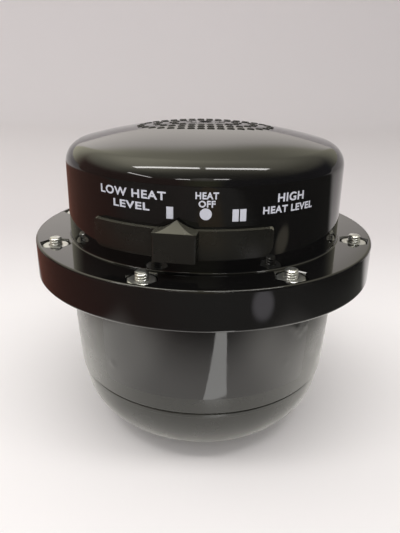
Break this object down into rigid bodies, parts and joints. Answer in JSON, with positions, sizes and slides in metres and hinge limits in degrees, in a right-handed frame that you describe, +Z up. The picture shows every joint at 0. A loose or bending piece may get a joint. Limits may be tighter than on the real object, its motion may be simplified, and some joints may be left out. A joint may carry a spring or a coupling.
{
  "type": "electric shower head",
  "caption": "Round flanged electric shower head: glossy domed switch cover with a sliding heat selector, bolted flange, tapered water chamber and a twist-off spray cap.",
  "frame": {"origin": "middle of the base plane that the spray cap stands on, on the axis of the round body", "axes": "+Z up along the axis, from the spray cap to the switch cover; -Y towards the selector at the front; +Y along the water inlet at the rear"},
  "size_m": [0.16, 0.16, 0.1468],
  "materials": {
    "black_gloss": "polished moulding",
    "black_satin": "satin moulding",
    "seal_rubber": "moulded rubber",
    "zinc_steel": "zinc plated",
    "brown_resin": "moulded phenolic resin",
    "pale_plastic": "moulded insulation",
    "white_ceramic": "unglazed ceramic",
    "copper": "bare copper",
    "brass": "turned brass",
    "heater_wire": "oxidised heater wire"
  },
  "bodies": {
    "shell": {"upper_housing": "black_gloss", "lower_body": "black_gloss", "cap_seal": "seal_rubber", "flange_screws": "zinc_steel", "flange_washers": "zinc_steel", "flange_nuts": "zinc_steel", "flange_gasket": "seal_rubber", "partition_plate": "brown_resin", "diaphragm": "seal_rubber", "clamp_ring": "brown_resin", "contact_base": "brown_resin", "base_screws": "zinc_steel", "fixed_contacts": "brass", "selector_pads": "copper", "arm_clip": "zinc_steel", "return_spring": "zinc_steel", "heating_coil": "heater_wire", "coil_posts": "white_ceramic", "terminal_studs": "brass", "terminal_nuts": "brass", "terminal_block": "pale_plastic", "block_screws": "brass", "cable_grommet": "seal_rubber", "inlet_socket": "brass", "inlet_washer": "seal_rubber", "inlet_locknut": "brass", "inlet_filter": "pale_plastic"},
    "selector": {"selector_lever": "black_satin", "selector_arm": "pale_plastic", "selector_screw": "zinc_steel", "selector_wiper": "brass"},
    "pressure_switch": {"plunger": "pale_plastic", "contact_bridge": "copper", "bridge_nut": "zinc_steel"},
    "sprayer": {"spray_cap": "black_gloss", "spray_plate": "black_satin"}
  },
  "joints": [
    {"name": "selector_turn", "type": "hinge", "parent": "shell", "child": "selector", "pos_m": [0, 0, 0.1068], "axis": [0, 0, 1], "range_deg": [-2.5, 21.5]},
    {"name": "plunger_lift", "type": "slide", "parent": "shell", "child": "pressure_switch", "axis": [0, 0, 1], "range_m": [0, 0.003], "stiffness_N_per_m": 1500, "springref_m": -0.004, "deforming": ["return_spring"]},
    {"name": "cap_twist", "type": "hinge", "parent": "shell", "child": "sprayer", "pos_m": [0, 0, 0.025], "axis": [0, 0, 1], "range_deg": [0, 30]}
  ]
}
